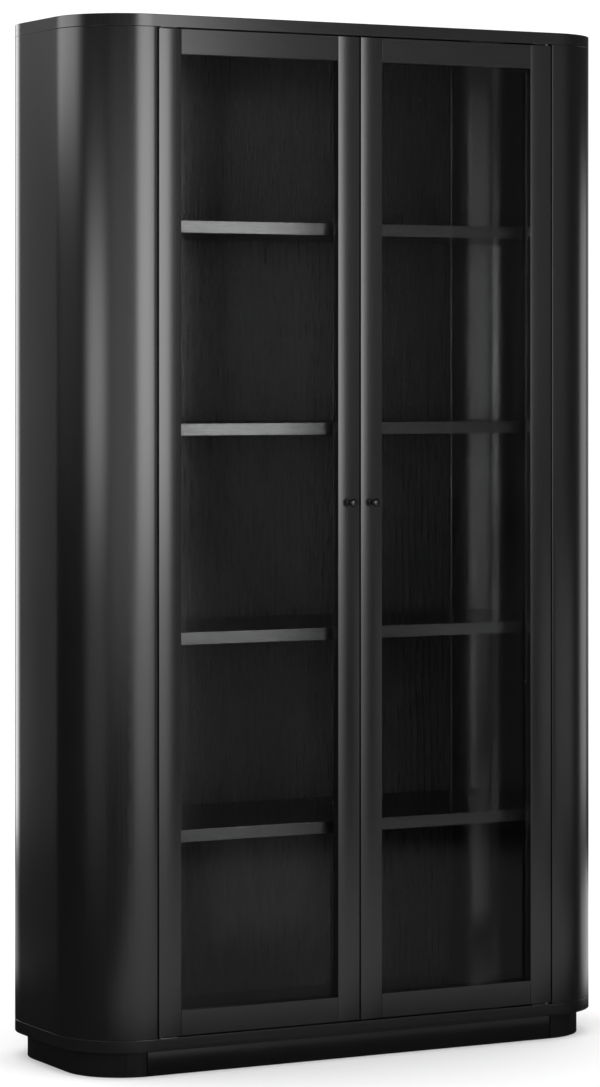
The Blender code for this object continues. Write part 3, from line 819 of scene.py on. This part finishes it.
# %% A lamp with a soft rim
def diffuser(lamp, edges):
    """Fades a lamp towards its rim, as the white cloth of a soft box does.

    The brightness is a product of two ramps, one for each of the lamp's own coordinates u and v, which run
    from 0 to 1 across it. Each ramp is a smooth step of the distance to the nearer rim, and is full from its
    edge inwards.
    """
    lamp.use_nodes = True
    tree = lamp.node_tree
    place = tree.nodes.new("ShaderNodeNewGeometry").outputs["Parametric"]
    split = tree.nodes.new("ShaderNodeSeparateXYZ")
    tree.links.new(place, split.inputs[0])
    ramps = []
    for coordinate, edge in zip("XY", edges):
        rim = node(tree, "ShaderNodeMath", {0: split.outputs[coordinate], 1: 0.5}, operation="PINGPONG")
        ramps.append(node(tree, "ShaderNodeMapRange", {"Value": rim, "From Max": edge},
                          interpolation_type="SMOOTHSTEP"))
    glow = node(tree, "ShaderNodeMath", {0: ramps[0], 1: ramps[1]}, operation="MULTIPLY")
    tree.links.new(glow, tree.nodes["Emission"].inputs["Strength"])


def hang_lamp(name, wide, high, brightness, edges, spot, turn):
    """A rectangular lamp that lights and is mirrored, but that the camera doesn't see.

    A flat lamp that shines evenly gives off pi times its brightness times its area.
    """
    lamp = bpy.data.lights.new(name, "AREA")
    lamp.shape = "RECTANGLE"
    lamp.size = wide
    lamp.size_y = high
    lamp.energy = math.pi * brightness * wide * high
    diffuser(lamp, edges)
    lit = bpy.data.objects.new(name, lamp)
    bpy.context.scene.collection.objects.link(lit)
    lit.location = spot
    lit.rotation_euler = turn
    lit.visible_camera = False


# %% Upright lamps and boards on the floor
LAMP_DISTANCE = 3.3                    # from the middle of the cabinet, in plan
BOARD_LIFT = 0.01                      # of a bright board above the floor


def soft_box(name, azimuths, heights, brightness, edges=(0.3, 0.3)):
    """An upright lamp that faces the cabinet from a span of compass angles.

    Nought degrees is straight in front, and the angle grows to the right.
    """
    middle, half = math.radians(sum(azimuths) / 2), math.radians(azimuths[1] - azimuths[0]) / 2
    spot = (LAMP_DISTANCE * math.sin(middle), -LAMP_DISTANCE * math.cos(middle), sum(heights) / 2)
    wide, high = 2 * LAMP_DISTANCE * math.tan(half), heights[1] - heights[0]
    hang_lamp(name, wide, high, brightness, edges, spot, (math.pi / 2, 0, middle))


def floor_board(name, xs, ys, brightness, edges=(0.2, 0.2)):
    """A bright board that lies on the floor and shines upwards, as white card beside the cabinet would."""
    spot = (sum(xs) / 2, sum(ys) / 2, BOARD_LIFT)
    hang_lamp(name, xs[1] - xs[0], ys[1] - ys[0], brightness, edges, spot, (math.pi, 0, 0))


soft_box("key_box", (-10, 19), (0.7, 2.9), 3.7, (0.1, 0.2))
soft_box("key_skirt", (-20, 24), (0.0, 1.0), 1.1)
soft_box("front_fill", (-56, 0), (0.3, 2.5), 0.6)
soft_box("left_strip", (-88, -46), (0.8, 2.05), 2.4, (0.4, 0.4))
soft_box("left_strip_foot", (-88, -46), (0.0, 1.2), 0.25)
soft_box("right_fill", (16, 64), (0.5, 3.2), 0.17, (0.4, 0.4))
soft_box("right_fill_foot", (28, 74), (0.0, 1.0), 0.35)
soft_box("rear_left_high", (-146, -86), (1.9, 3.2), 2.2)
soft_box("rear_left_fill", (-140, -84), (0.9, 2.6), 0.12)
soft_box("rear_left_rim", (-180, -151.5), (0.0, 2.9), 2.5, (0.3, 0.05))
soft_box("right_rim", (84, 112), (0.0, 2.1), 0.95, (0.2, 0.15))
soft_box("rear_right_fill", (116, 162), (0.0, 2.6), 0.9)
floor_board("front_board", (-1.6, 2.4), (-3.4, -0.45), 0.4)
floor_board("rear_board", (-1.2, 1.2), (0.9, 3.2), 0.5)
floor_board("right_board", (0.8, 3.2), (-0.3, 1.6), 1.0)
print(len(bpy.data.lights), "lamps")

# %% [markdown]
# ## Camera
# The camera stands well back and to the left, level, at the height of a person's chest. It looks straight
# ahead, and the lens is shifted instead of tilted, so that the cabinet's uprights stay parallel, as in a
# furniture catalogue.

# %% The camera
AZIMUTH = math.radians(28)             # how far the camera stands to the left of straight in front
DISTANCE = 8.166                       # from the middle of the case
SIDESTEP = -0.0146                     # sideways from the line through that middle
EYE_HEIGHT = 1.4195
SENSOR, FOCAL_LENGTH = 36.0, 128.17    # millimetres
LENS_SHIFT = -0.1606                   # lowers the frame, whose middle would be at eye height

lens = bpy.data.cameras.new("catalogue_camera")
lens.sensor_width = SENSOR
lens.lens = FOCAL_LENGTH
lens.shift_y = LENS_SHIFT
camera = bpy.data.objects.new("catalogue_camera", lens)
bpy.context.scene.collection.objects.link(camera)
away = np.array([math.sin(AZIMUTH), math.cos(AZIMUTH)])
middle = np.array([0.0, (front + back) / 2])
spot = middle - DISTANCE * away + SIDESTEP * np.array([away[1], -away[0]])
camera.location = (*spot, EYE_HEIGHT)
camera.rotation_euler = (math.pi / 2, 0, -AZIMUTH)
bpy.context.scene.camera = camera
bpy.context.scene.view_settings.view_transform = "Standard"
print("camera at", [round(v, 3) for v in camera.location])
